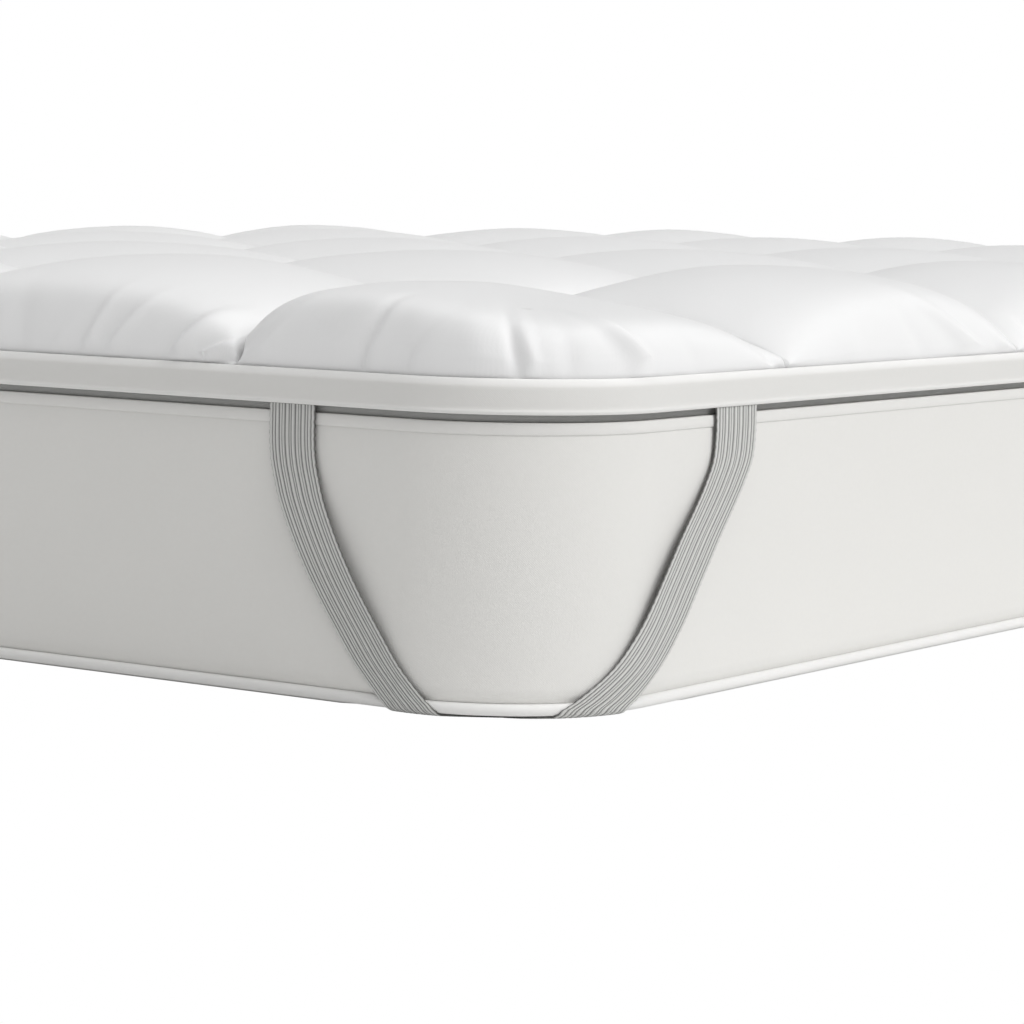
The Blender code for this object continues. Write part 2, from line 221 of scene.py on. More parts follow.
def make_weave():
    """Threads crossing at a pitch in metres, with slubs and a faint cloudy tint."""
    inputs = [("Cloth", "vector"), ("Pitch", "number"), ("Slub", "number")]
    outputs = [("Height", "number"), ("Tint", "number")]
    group, start, end = new_group("woven_threads", inputs, outputs)
    links = group.links
    parts = group.nodes.new("ShaderNodeSeparateXYZ")
    links.new(start.outputs["Cloth"], parts.inputs[0])
    turn = maths(group, "DIVIDE", 2 * math.pi, start.outputs["Pitch"])
    warp = maths(group, "SINE", maths(group, "MULTIPLY", parts.outputs[0], turn))
    weft = maths(group, "SINE", maths(group, "MULTIPLY", parts.outputs[1], turn))
    threads = maths(group, "MULTIPLY_ADD", maths(group, "MULTIPLY", warp, weft), 0.5, 0.5)
    slubs = cloudy(group, start.outputs["Cloth"], SLUB_SCALE, detail=2.0)
    uneven = maths(group, "MULTIPLY", maths(group, "SUBTRACT", slubs, 0.5), start.outputs["Slub"])
    links.new(maths(group, "ADD", threads, uneven), end.inputs["Height"])
    wide = cloudy(group, start.outputs["Cloth"], CLOUD_SCALE)
    wide_share = maths(group, "MULTIPLY", wide, 1 - SPECK_SHARE)
    fine = cloudy(group, start.outputs["Cloth"], SPECK_SCALE, detail=1.0)
    both = maths(group, "MULTIPLY_ADD", fine, SPECK_SHARE, wide_share)
    links.new(both, end.inputs["Tint"])
    return group


woven_threads = make_weave()

SHEEN_ROUGHNESS = 0.5
CLOTH_SPECULAR = 0.25
SLUB_SHARE = 0.6
RELIEF_STRENGTH = 0.6

Finish = namedtuple("Finish", "material tree shader tint weave bump")


def cloth_finish(name, colour, darker, roughness, sheen, pitch, relief):
    """A woven cloth: its colour, and how much darker, rough, sheeny, coarse and raised it is."""
    dark = tuple(part * (1 - darker) for part in colour)
    material = bpy.data.materials.new(name)
    material.use_nodes = True
    tree = material.node_tree
    shader = tree.nodes["Principled BSDF"]
    shader.inputs["Roughness"].default_value = roughness
    shader.inputs["Sheen Weight"].default_value = sheen
    shader.inputs["Sheen Roughness"].default_value = SHEEN_ROUGHNESS
    shader.inputs["Specular IOR Level"].default_value = CLOTH_SPECULAR
    cloth = tree.nodes.new("ShaderNodeUVMap")
    cloth.uv_map = "cloth"
    weave = tree.nodes.new("ShaderNodeGroup")
    weave.node_tree = woven_threads
    weave.inputs["Pitch"].default_value = pitch
    weave.inputs["Slub"].default_value = SLUB_SHARE
    tree.links.new(cloth.outputs["UV"], weave.inputs["Cloth"])
    tint = tree.nodes.new("ShaderNodeMix")
    tint.data_type = "RGBA"
    tint.inputs["A"].default_value = (*dark, 1.0)
    tint.inputs["B"].default_value = (*colour, 1.0)
    tree.links.new(weave.outputs["Tint"], tint.inputs["Factor"])
    tree.links.new(tint.outputs["Result"], shader.inputs["Base Color"])
    bump = tree.nodes.new("ShaderNodeBump")
    bump.inputs["Strength"].default_value = RELIEF_STRENGTH
    bump.inputs["Distance"].default_value = relief
    tree.links.new(weave.outputs["Height"], bump.inputs["Height"])
    tree.links.new(bump.outputs["Normal"], shader.inputs["Normal"])
    return Finish(material, tree, shader, tint, weave, bump)


def mattress_section():
    """The cover's section from the middle of the sole, up the wall, to the middle of the top."""
    low_seam = TAPE_LIFT + TAPE_HEIGHT + HAIR
    high_seam = MATTRESS_HEIGHT - TAPE_HEIGHT - HAIR
    rows = [(-inset, 0.0, 0.0) for inset in SOLE_INSETS]
    rows += [SOLE_ROUNDING, (-SEWN_IN, TAPE_LIFT, 0.0), (-SEWN_IN, low_seam, 0.0)]
    for step in range(1, WALL_ROWS):
        up = low_seam + (high_seam - low_seam) * (1 - math.cos(math.pi * step / WALL_ROWS)) / 2
        part = (up - low_seam) / (high_seam - low_seam)
        ease = min(1.0, (up - low_seam) / SEWN_EASE, (high_seam - up) / SEWN_EASE)
        drawn_in = (SEWN_IN if part < 0.5 else TOP_SEWN_IN) * (1 - math.sin(math.pi / 2 * ease))
        rows.append((WALL_FULLNESS * math.sin(math.pi * part) - drawn_in, up, ease))
    rows += [(-TOP_SEWN_IN, high_seam, 0.0), (-TOP_SEWN_IN, MATTRESS_HEIGHT - 3 * HAIR, 0.0)]
    rows += [(-inset, MATTRESS_HEIGHT, 0.0) for inset in TOP_INSETS]
    return rows


def pressed_up(piece):
    """Lift the sole off the floor round each corner, where a strap passes under it."""
    corner_cut = CORNER_RADIUS * (1 - math.sqrt(0.5))
    middle_x = WIDTH / 2 - corner_cut
    middle_y = LENGTH / 2 - corner_cut
    for point in piece.data.vertices:
        away = math.hypot(abs(point.co.x) - middle_x, abs(point.co.y) - middle_y)
        if point.co.z < TAPE_LIFT / 2 and away < SOLE_PRESSED + SOLE_EASE:
            share = min(1.0, (SOLE_PRESSED + SOLE_EASE - away) / SOLE_EASE)
            point.co.z = max(point.co.z, SOLE_LIFT * share * share * (3 - 2 * share))


mattress = round_piece(
    "mattress_cover", mattress_section(), waviness=0.0006, wave_length=0.16, seed=2
)
pressed_up(mattress)
ticking = cloth_finish(
    "plain_ticking",
    MATTRESS_COLOUR,
    darker=0.035,
    roughness=0.9,
    sheen=0.15,
    pitch=0.0011,
    relief=0.0002,
)
mattress.data.materials.append(ticking.material)
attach(mattress, "root")
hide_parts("mattress")

# The mattress's two edge tapes: pale binding folded over the seams between the side panel and
# the top and bottom panels. The bottom one stands out as a rounded bead, and the topper's
# weight presses the top one nearly flat.
TAPE_ROWS = 12


def tape_section(bottom, sewn_in, proud):
    """A rounded bead, flat against the mattress at its back."""
    rows = []
    reach = proud + sewn_in - HAIR
    for step in range(TAPE_ROWS + 1):
        angle = math.pi * (step / TAPE_ROWS - 0.5)
        out = HAIR - sewn_in + reach * math.cos(angle)
        rows.append((out, bottom + TAPE_HEIGHT * (1 + math.sin(angle)) / 2, math.cos(angle)))
    return rows + [rows[0]]


# Both tapes are one binding; the bottom one's colour is paler than the top one's, partly as painted
# light for the floor's bounce on its bead
# Flat is the width of the binding before it is folded
Tape = namedtuple("Tape", "name node bottom sewn_in proud colour flat")
for edge_tape in (
    Tape(
        name="bottom_edge_tape",
        node="mattress_bottom_tape",
        bottom=TAPE_LIFT,
        sewn_in=SEWN_IN,
        proud=0.0017,
        colour=(0.900, 0.895, 0.880),
        flat=0.0128,
    ),
    Tape(
        name="top_edge_tape",
        node="mattress_top_tape",
        bottom=MATTRESS_HEIGHT - TAPE_HEIGHT,
        sewn_in=TOP_SEWN_IN,
        proud=0.0007,
        colour=(0.850, 0.842, 0.818),
        flat=0.0102,
    ),
):
    tape_rows = tape_section(edge_tape.bottom, edge_tape.sewn_in, edge_tape.proud)
    tape = round_piece(edge_tape.name, tape_rows, waviness=0.0002, wave_length=0.03, seed=3)
    binding = cloth_finish(
        edge_tape.name + "_binding",
        edge_tape.colour,
        darker=0.03,
        roughness=0.7,
        sheen=0.1,
        pitch=0.0012,
        relief=0.00025,
    )
    tape.data.materials.append(binding.material)
    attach(tape, "root")
    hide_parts(edge_tape.node)

# The topper's underside: one panel of thin plain cloth that lies on the mattress, a little
# short of the edge, so that a shadowed gap runs round under the border band. Its cloth is
# coloured a dark grey, as painted shade for that gap.
RECESS = 0.0053
UNDERSIDE_INSET = 0.0030
UNDERSIDE_EASE = 0.0009
UNDERSIDE_MIDDLE = 0.05
# Dark grey: painted shade for the gap under the band
UNDERSIDE_SHADE_COLOUR = (0.46, 0.46, 0.45)

underside_low = MATTRESS_HEIGHT + HAIR
band_bottom = MATTRESS_HEIGHT + RECESS
underside_high = band_bottom - HAIR
underside_section = [
    (-CORNER_RADIUS, underside_low, 0.0),
    (-UNDERSIDE_MIDDLE, underside_low, 0.0),
    (-UNDERSIDE_INSET - HAIR, underside_low, 0.0),
    (-UNDERSIDE_INSET, underside_low + HAIR, 0.0),
    (-UNDERSIDE_INSET, underside_high - UNDERSIDE_EASE, 0.0),
    (-UNDERSIDE_INSET - UNDERSIDE_EASE, underside_high, 0.0),
    (-UNDERSIDE_MIDDLE, underside_high, 0.0),
    (-CORNER_RADIUS, underside_high, 0.0),
]
underside = round_piece("topper_underside", underside_section)
underside_shade_finish = cloth_finish(
    "underside_painted_shade",
    UNDERSIDE_SHADE_COLOUR,
    darker=0.1,
    roughness=0.95,
    sheen=0.0,
    pitch=0.0014,
    relief=0.0003,
)
underside.data.materials.append(underside_shade_finish.material)
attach(underside, "root")
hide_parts("underside_cloth")

# The border band: a long strip of close-woven cloth round the pad's side, folded over at the
# top and turned under at the bottom, where the hem stands out as a narrow bead.
BAND_HEIGHT = 0.0231
BAND_OUT = 0.0045
BAND_THICKNESS = 0.0037
BEAD_HEIGHT = 0.0036
BEAD_PROUD = 0.0008
BAND_FOLD = 0.0056
BEAD_ROWS = 8
FACE_ROWS = 8
FOLD_ROWS = 7
# The band's face is coloured a little darker, as painted shade under the pad's overhang, and its fold
# and hem paler, as a painted highlight where light catches their rounded edges
HEM_HIGHLIGHT_SHARE = 0.5
BAND_COLOUR = (0.800, 0.793, 0.770)
FOLD_HIGHLIGHT_COLOUR = (0.900, 0.895, 0.880)
band_top = band_bottom + BAND_HEIGHT


def band_section():
    """The band's section: hem, face, fold, and down its back."""
    inner = BAND_OUT - BAND_THICKNESS
    rows = [(inner, band_bottom, 0.0), (BAND_OUT, band_bottom, 0.0)]
    for step in range(1, BEAD_ROWS + 1):
        part = step / BEAD_ROWS
        out = BAND_OUT + BEAD_PROUD * math.sin(math.pi * part)
        rows.append((out, band_bottom + BEAD_HEIGHT * part, 0.0))
    face_low = band_bottom + BEAD_HEIGHT
    face_high = band_top - BAND_FOLD
    for step in range(1, FACE_ROWS + 1):
        part = step / FACE_ROWS
        rows.append((BAND_OUT, face_low + (face_high - face_low) * part, math.sin(math.pi * part)))
    for step in range(1, FOLD_ROWS + 1):
        part = step / FOLD_ROWS
        out = BAND_OUT - BAND_THICKNESS * part
        rows.append((out, face_high + BAND_FOLD * math.sin(math.pi / 2 * part), 0.0))
    return rows + [rows[0]]


def paint_edge_highlights(piece):
    """Mark the fold and the hem, which are coloured paler as a painted highlight on their rounded
    edges.
    """
    highlight_share = []
    for point in piece.data.vertices:
        in_fold = (point.co.z - (band_top - BAND_FOLD)) / (BAND_FOLD / 2)
        in_hem = (band_bottom + BEAD_HEIGHT - point.co.z) / BEAD_HEIGHT
        highlight_share.append(min(1.0, max(0.0, in_fold, min(HEM_HIGHLIGHT_SHARE, in_hem))))
    piece.data.attributes.new("painted_highlight", "FLOAT", "POINT").data.foreach_set("value", highlight_share)


def make_band_cloth():
    """Close-woven white cloth, with a painted highlight on its fold and hem."""
    finish = cloth_finish(
        "band_weave",
        BAND_COLOUR,
        darker=0.03,
        roughness=0.75,
        sheen=0.1,
        pitch=0.0011,
        relief=0.0002,
    )
    tree = finish.tree
    highlight_share = tree.nodes.new("ShaderNodeAttribute")
    highlight_share.attribute_name = "painted_highlight"
    highlight_mix = tree.nodes.new("ShaderNodeMix")
    highlight_mix.data_type = "RGBA"
    highlight_mix.inputs["B"].default_value = (*FOLD_HIGHLIGHT_COLOUR, 1.0)
    tree.links.new(finish.tint.outputs["Result"], highlight_mix.inputs["A"])
    tree.links.new(highlight_share.outputs["Fac"], highlight_mix.inputs["Factor"])
    tree.links.new(highlight_mix.outputs["Result"], finish.shader.inputs["Base Color"])
    return finish.material


band = round_piece("border_band_cloth", band_section(), waviness=0.0005, wave_length=0.07, seed=5)
paint_edge_highlights(band)
band.data.materials.append(make_band_cloth())
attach(band, "root")
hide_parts("border_band")

# The quilted pad: smooth white cloth sewn down in boxes, each of them a full soft pillow. The
# cloth is gathered into the band, so fans of small creases rise from the edge, and puckers
# run off the seams.
END_BOX_X = 0.258
END_BOX_Y = 0.289
BOXES_X = 5
BOXES_Y = 6
COLUMNS_A_BOX = 26
ROWS_A_BOX = 28
FINE_CELLS = 8
FINE_CUTS = 3
PAD_OUT = 0.00062
SEAM_HEIGHT = 0.022
SEAM_RUN = 0.11
TUCK = 0.0020
TUCK_HEIGHT = 0.0022
CREST_UNEVEN = 0.0015
CREST_TURN_X = 2.1
CREST_TURN_Y = 1.3
CREST_START = 0.7
CORNER_TILT = 0.64
QUILT_COLOUR = (0.935, 0.935, 0.935)
# Painted shade: the cloth is coloured darker near each quilting line, in its hollow
SEAM_SHADE_COLOUR = (0.62, 0.62, 0.62)
SEAM_SHADE = 0.7
SEAM_SHADE_WIDTH = 0.003
THREAD_WIDTH = 0.0009
STITCH_LENGTH = 0.0036
THREAD_RELIEF = 4.0
THREAD_DIP = -0.5

# Crest height, fullness towards the inner seams and the edge, how late the side rolls over to
# the top, and how far it stands out
Form = namedtuple("Form", "crest seam_x seam_y edge roll bulge")
INNER_BOX = Form(0.068, 0.9, 0.9, 0.9, 1.0, 0.0)
SIDE_BOX = Form(0.067, 1.25, 1.15, 0.62, 1.0, 0.008)
CORNER_BOX = Form(0.052, 0.95, 1.8, 0.50, 2.2, 0.006)
BULGE_LOW = 1.4
EDGE_RUN = 0.129
NEAR_EDGE = 0.040
FULLER_NEAR_EDGE = 0.55


def seam_lines(side, end_box, boxes):
    """Places of the quilting lines on one axis: two end boxes and equal ones between."""
    middle_box = (side - 2 * end_box) / (boxes - 2)
    inner = [-side / 2 + end_box + middle_box * number for number in range(boxes - 1)]
    return np.array([-side / 2 - PAD_OUT, *inner, side / 2 + PAD_OUT])


def places_over_boxes(numbers, steps, lines):
    """Box, part of the way over it, and place, closer together towards the seams."""
    boxes = len(lines) - 1
    box = np.minimum((numbers / steps + 1e-5).astype(int), boxes - 1)
    part = np.clip(numbers / steps - box, 0, 1)
    share = (1 - np.cos(np.pi * part)) / 2
    outer_half = ((box == 0) & (part < 0.5)) | ((box == boxes - 1) & (part > 0.5))
    share = np.where(outer_half, share, (share + part) / 2)
    place = lines[box] + (lines[box + 1] - lines[box]) * share
    return box, np.arccos(np.clip(1 - 2 * share, -1, 1)) / np.pi, place


def swell(box, part, boxes, fullness):
    """Rise towards the crest from an inner seam."""
    outer_half = ((box == 0) & (part < 0.5)) | ((box == boxes - 1) & (part > 0.5))
    return np.where(outer_half, 1.0, np.clip(np.sin(np.pi * part), 0, 1) ** fullness)


def rounded_corners(x, y):
    """Move the points of the square-cornered grid on to rings round each corner."""
    radius = CORNER_RADIUS + PAD_OUT
    from_x = WIDTH / 2 + PAD_OUT - np.abs(x)
    from_y = LENGTH / 2 + PAD_OUT - np.abs(y)
    ring = np.minimum(from_x, from_y)
    other = np.maximum(from_x, from_y)
    moved = (other < radius) & (ring < radius - 1e-6)
    turn = np.pi / 4 * (1 - (other - ring) / np.maximum(radius - ring, 1e-6))
    angle = np.where(from_x < from_y, turn, np.pi / 2 - turn)
    new_x = WIDTH / 2 - CORNER_RADIUS + (radius - ring) * np.cos(angle)
    new_y = LENGTH / 2 - CORNER_RADIUS + (radius - ring) * np.sin(angle)
    x = np.where(moved, np.sign(x) * new_x, x)
    y = np.where(moved, np.sign(y) * new_y, y)
    return x, y


def ways_out(x, y):
    """The level way out from the outline's core, and the distance round from the corner."""
    core_x = WIDTH / 2 - CORNER_RADIUS
    core_y = LENGTH / 2 - CORNER_RADIUS
    past_x = np.maximum(np.abs(x) - core_x, 0)
    past_y = np.maximum(np.abs(y) - core_y, 0)
    reach = np.hypot(past_x, past_y)
    safe = np.maximum(reach, 1e-9)
    away = np.stack([np.sign(x) * past_x / safe, np.sign(y) * past_y / safe], axis=1)
    quarter = CORNER_RADIUS * np.pi / 4
    on_long_wall = WIDTH / 2 - np.abs(x) < LENGTH / 2 - np.abs(y)
    along_long = quarter + core_y - np.abs(y)
    along_short = -quarter - core_x + np.abs(x)
    run = np.where(on_long_wall, along_long, along_short)
    in_corner = (past_x > 0) & (past_y > 0)
    run = np.where(in_corner, CORNER_RADIUS * (np.pi / 4 - np.arctan2(past_y, past_x)), run)
    return away, run


def select_near_edge(piece, columns, rows):
    """Select the grid's faces next to the edge, where the creases need finer ones."""
    bpy.ops.object.mode_set(mode="EDIT")
    bpy.ops.mesh.select_mode(type="FACE")
    bpy.ops.mesh.select_all(action="DESELECT")
    bpy.ops.object.mode_set(mode="OBJECT")
    for face in piece.data.polygons:
        column = (face.center.x + 0.5) * columns
        row = (face.center.y + 0.5) * rows
        face.select = min(column, row, columns - column, rows - row) < FINE_CELLS


pad_lines_x = seam_lines(WIDTH, END_BOX_X, BOXES_X)
pad_lines_y = seam_lines(LENGTH, END_BOX_Y, BOXES_Y)
pad_columns = BOXES_X * COLUMNS_A_BOX
pad_rows = BOXES_Y * ROWS_A_BOX
pad = cloth_strip("quilted_pad_cloth", pad_columns, pad_rows)[0]
select_near_edge(pad, pad_columns, pad_rows)
bpy.ops.object.mode_set(mode="EDIT")
bpy.ops.mesh.subdivide(number_cuts=FINE_CUTS)
bpy.ops.object.mode_set(mode="OBJECT")
pad_column, pad_row = strip_numbers(pad, pad_columns, pad_rows)
box_x, part_x, flat_x = places_over_boxes(pad_column, COLUMNS_A_BOX, pad_lines_x)
box_y, part_y, flat_y = places_over_boxes(pad_row, ROWS_A_BOX, pad_lines_y)
end_x = (box_x == 0) | (box_x == BOXES_X - 1)
end_y = (box_y == 0) | (box_y == BOXES_Y - 1)
kinds = np.where(end_x & end_y, 2, np.where(end_x | end_y, 1, 0))
form = Form(*np.array([INNER_BOX, SIDE_BOX, CORNER_BOX])[kinds].T)
from_long_side = WIDTH / 2 + PAD_OUT - np.abs(flat_x)
to_side = np.minimum(from_long_side, LENGTH / 2 + PAD_OUT - np.abs(flat_y))
near_edge = np.exp(-((to_side / NEAR_EDGE) ** 2))
fuller = np.where((kinds == 1) & end_y, 1 - FULLER_NEAR_EDGE * near_edge, 1.0)
inner_x = swell(box_x, part_x, BOXES_X, form.seam_x * fuller)
inner_y = swell(box_y, part_y, BOXES_Y, form.seam_y * fuller)
edge = np.sqrt(1 - (1 - np.clip(to_side / EDGE_RUN, 0, 1)) ** 2)
full = inner_x * inner_y * (1 - (1 - edge) ** form.roll) ** form.edge
ramp = np.minimum(1.0, to_side / SEAM_RUN)
seam_rise = SEAM_HEIGHT * ramp * (2 - ramp)
uneven_turn = CREST_TURN_X * box_x + CREST_TURN_Y * box_y + CREST_START
crest = form.crest + CREST_UNEVEN * np.sin(uneven_turn)
tilt = 1 + CORNER_TILT * (from_long_side / END_BOX_X - 0.5)
crest = np.where(kinds == 2, crest * tilt, crest)
pad_x, pad_y = rounded_corners(flat_x, flat_y)
away, run = ways_out(pad_x, pad_y)
bulge = form.bulge * np.sin(np.pi * edge**BULGE_LOW) ** 2 * inner_x * inner_y
rise = seam_rise + (crest - seam_rise) * full

# A crease's foot is its distance round the edge from the corner's middle, less than nothing
# on the short side. Its lean is how far it moves along as it rises, and its depth is less
# than nothing where it is a hollow.
Crease = namedtuple("Crease", "foot lean width depth height")
NEAR_CORNER_CREASES = (
    Crease(-0.398, 0.80, 0.0036, 0.0030, 0.018),
    Crease(-0.367, 0.52, 0.0040, 0.0052, 0.036),
    Crease(-0.376, 0.52, 0.0050, -0.0030, 0.032),
    Crease(-0.346, 0.80, 0.0052, 0.0052, 0.034),
    Crease(-0.358, 0.80, 0.0054, -0.0022, 0.030),
    Crease(-0.286, 0.90, 0.0100, 0.0085, 0.032),
    Crease(-0.299, 0.90, 0.0080, -0.0040, 0.026),
    Crease(-0.267, 2.10, 0.0065, 0.0056, 0.022),
    Crease(-0.240, 0.90, 0.0080, -0.0060, 0.024),
    Crease(-0.221, 1.00, 0.0055, 0.0032, 0.036),
    Crease(-0.160, 0.80, 0.0080, 0.0020, 0.040),
    Crease(-0.133, 0.50, 0.0042, -0.0070, 0.038),
    Crease(-0.124, 0.50, 0.0050, 0.0024, 0.034),
    Crease(-0.102, 0.93, 0.0042, -0.0056, 0.022),
    Crease(-0.036, -0.20, 0.0150, 0.0030, 0.044),
    Crease(-0.012, -0.25, 0.0045, -0.0048, 0.050),
    Crease(-0.002, -0.25, 0.0050, 0.0030, 0.034),
    Crease(0.021, -0.10, 0.0080, -0.0026, 0.036),
    Crease(0.087, -1.00, 0.0090, 0.0085, 0.055),
    Crease(0.150, -0.80, 0.0120, -0.0022, 0.030),
    Crease(0.250, -1.00, 0.0080, -0.0030, 0.018),
    Crease(0.264, -1.30, 0.0080, 0.0050, 0.016),
    Crease(0.550, -1.90, 0.0140, 0.0062, 0.046),
    Crease(0.600, -1.20, 0.0090, 0.0040, 0.016),
    Crease(0.360, -0.40, 0.0160, 0.0024, 0.030),
    Crease(0.470, -1.00, 0.0120, -0.0024, 0.036),
)
CREASE_GAP = 0.034
SHORT_SIDE_MIDDLE = -0.74
LONG_SIDE_MIDDLE = 0.99
random.seed(11)


def gathered_creases(first, last):
    """Creases spread along a stretch of edge where the cloth is gathered into the band."""
    creases = []
    foot = first
    while foot < last:
        depth = random.choice((-1, 1)) * random.uniform(0.0018, 0.0060)
        width = random.uniform(0.0045, 0.0110)
        lean = random.uniform(-1.1, 1.1)
        creases.append(Crease(foot, lean, width, depth, random.uniform(0.018, 0.040)))
        foot += CREASE_GAP * random.uniform(0.5, 1.6)
    return creases


corner_creases = {
    (1, -1): [
        *NEAR_CORNER_CREASES,
        *gathered_creases(SHORT_SIDE_MIDDLE, -0.42),
        *gathered_creases(0.64, LONG_SIDE_MIDDLE),
    ],
    (1, 1): gathered_creases(SHORT_SIDE_MIDDLE, LONG_SIDE_MIDDLE),
    (-1, 1): gathered_creases(SHORT_SIDE_MIDDLE, LONG_SIDE_MIDDLE),
    (-1, -1): gathered_creases(SHORT_SIDE_MIDDLE, LONG_SIDE_MIDDLE),
}
CREASE_REACH = 0.052
CREASE_START = 0.005
CREASE_OUT = 0.75
CREASE_UP = 0.6
crease = np.zeros(len(run))
for (side_x, side_y), creases in corner_creases.items():
    this_corner = (np.sign(pad_x) == side_x) & (np.sign(pad_y) == side_y)
    here = this_corner & (to_side < 2 * CREASE_REACH)
    grown = np.minimum(1.0, rise[here] / CREASE_START)
    reach = np.exp(-((to_side[here] / CREASE_REACH) ** 2)) * grown
    for one in creases:
        off = (run[here] - one.foot - one.lean * rise[here]) / one.width
        faded = np.exp(-((rise[here] / one.height) ** 2))
        crease[here] += one.depth * np.exp(-off * off) * faded * reach

# Small puckers run off the quilting lines, and each box has broad soft lumps
SEAM_PUCKER = 0.0026
PUCKER_LENGTH = 0.026
PUCKER_REACH = 0.04
PUCKER_TURN = 9.0
PUCKER_START = 0.012
PUCKER_FROM_EDGE = 0.05
LINE_SHIFT = 7.3
LUMP_HEIGHT = 0.0014
LUMP_SIZE = 0.085
LUMP_SHIFT_X = 0.4
LUMP_SHIFT_Y = 0.7
pucker = np.zeros(len(run))
for flat, other, lines, seed in (
    (flat_x, flat_y, pad_lines_x, 21),
    (flat_y, flat_x, pad_lines_y, 34),
):
    for number, line in enumerate(lines[1:-1]):
        off = np.abs(flat - line)
        near = off < 3 * PUCKER_REACH
        shift = Vector((seed, seed, seed))
        waves = [
            noise.noise(
                Vector((along / PUCKER_LENGTH, number * LINE_SHIFT, away_from * PUCKER_TURN))
                + shift
            )
            for along, away_from in zip(other[near], off[near])
        ]
        grown = np.minimum(1.0, off[near] / PUCKER_START)
        pucker[near] += np.array(waves) * np.exp(-off[near] / PUCKER_REACH) * grown
box_shift = box_x * LUMP_SHIFT_X + box_y * LUMP_SHIFT_Y
lumps = unevenness(np.column_stack([flat_x, flat_y, box_shift]), LUMP_SIZE, 8)
puckers = SEAM_PUCKER * pucker * np.minimum(1.0, to_side / PUCKER_FROM_EDGE)
lift = puckers + LUMP_HEIGHT * lumps * full

outwards = bulge + CREASE_OUT * crease - TUCK * np.exp(-((rise / TUCK_HEIGHT) ** 2))
pad_x = pad_x + away[:, 0] * outwards
pad_y = pad_y + away[:, 1] * outwards
pad_z = band_top + rise + lift + CREASE_UP * crease
lay_points(pad, np.column_stack([pad_x, pad_y, pad_z]))
lay_pattern(pad, flat_x, flat_y)
bpy.ops.object.mode_set(mode="EDIT")
bpy.ops.mesh.select_mode(type="EDGE")
bpy.ops.mesh.select_all(action="DESELECT")
bpy.ops.mesh.select_non_manifold(extend=False, use_boundary=True)
bpy.ops.mesh.extrude_edges_move(TRANSFORM_OT_translate={"value": (0.0, 0.0, -BAND_HEIGHT)})
bpy.ops.object.mode_set(mode="OBJECT")
sew_shut(pad, sharp_angle=78)


def from_seam(tree, place, nearest, spacing):
    """Distance from the nearest quilting line, for lines that repeat at a spacing."""
    along = maths(tree, "SUBTRACT", maths(tree, "ABSOLUTE", place), nearest)
    return maths(tree, "ABSOLUTE", maths(tree, "WRAP", along, spacing / 2, -spacing / 2))


def stitched(tree, off, along):
    """One where a thread of the quilting shows, nothing elsewhere."""
    on_line = maths(tree, "LESS_THAN", off, THREAD_WIDTH / 2)
    turn = maths(tree, "MULTIPLY", along, 2 * math.pi / STITCH_LENGTH)
    showing = maths(tree, "GREATER_THAN", maths(tree, "SINE", turn), THREAD_DIP)
    return maths(tree, "MULTIPLY", on_line, showing)


def make_quilted_cloth():
    """Smooth white cloth, coloured darker along the quilting lines as painted shade in their hollows,
    with stitches along them.
    """
    finish = cloth_finish(
        "quilted_cloth_finish",
        QUILT_COLOUR,
        darker=0.015,
        roughness=0.7,
        sheen=0.2,
        pitch=0.0010,
        relief=0.00015,
    )
    tree = finish.tree
    places = tree.nodes.new("ShaderNodeSeparateXYZ")
    tree.links.new(tree.nodes["UV Map"].outputs["UV"], places.inputs[0])
    across, along = places.outputs[0], places.outputs[1]
    off_x = from_seam(tree, across, abs(pad_lines_x[2]), pad_lines_x[2] - pad_lines_x[1])
    off_y = from_seam(tree, along, abs(pad_lines_y[3]), pad_lines_y[3] - pad_lines_y[2])
    thread = maths(tree, "MAXIMUM", stitched(tree, off_x, along), stitched(tree, off_y, across))
    height = maths(tree, "MULTIPLY_ADD", thread, THREAD_RELIEF, finish.weave.outputs["Height"])
    tree.links.new(height, finish.bump.inputs["Height"])
    near = maths(tree, "MINIMUM", off_x, off_y)
    shade = maths(tree, "SUBTRACT", 1.0, maths(tree, "DIVIDE", near, SEAM_SHADE_WIDTH))
    share = maths(tree, "MULTIPLY", maths(tree, "MAXIMUM", shade, 0.0), SEAM_SHADE)
    seam_shaded = tree.nodes.new("ShaderNodeMix")
    seam_shaded.data_type = "RGBA"
    seam_shaded.inputs["B"].default_value = (*SEAM_SHADE_COLOUR, 1.0)
    tree.links.new(share, seam_shaded.inputs["Factor"])
    tree.links.new(finish.tint.outputs["Result"], seam_shaded.inputs["A"])
    tree.links.new(seam_shaded.outputs["Result"], finish.shader.inputs["Base Color"])
    return finish.material


pad.data.materials.append(make_quilted_cloth())
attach(pad, "root")
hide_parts("quilted_pad")

# The four corner straps: grey elastic, 40 mm wide, with fourteen cords woven in along it. Each
# is sewn into the band's lower seam at both ends, leans down both walls towards the corner,
# turns under the edge and passes under the mattress. The slanting pull draws it wider across
# the long wall than across the short one.
STRAP_WIDTH = 0.040
STRAP_THICKNESS = 0.0015
RIB_RELIEF = 0.0006
RIB_COUNT = 14
RIB_UNEVEN = 0.22
RIB_SWING = 2.4
RIB_ROUND = 0.7
POINTS_A_RIB = 6
INSIDE_STEPS = 6
RAGGED_OUT = 0.00035
RAGGED_LENGTH = 0.0058
RAGGED_EDGE = 8
STRAP_OUT = 0.0021
STRAP_SOLE = 0.0017
EDGE_RADIUS = 0.0044
EDGE_LENGTH = EDGE_RADIUS * math.pi / 2
EDGE_LEAN = math.radians(45)
UNDER_HALF = 0.058
UNDER_SHIFT = 0.020
STRAP_BOW = 0.006
LONG_WALL_SPREAD = 1.31
SHORT_WALL_SPREAD = 0.94
STRAP_STEP = 0.0022
STRAP_COLOUR = (0.78, 0.78, 0.76)
# Painted shade in the grooves between the cords
GROOVE_SHADE_COLOUR = (0.13, 0.13, 0.125)

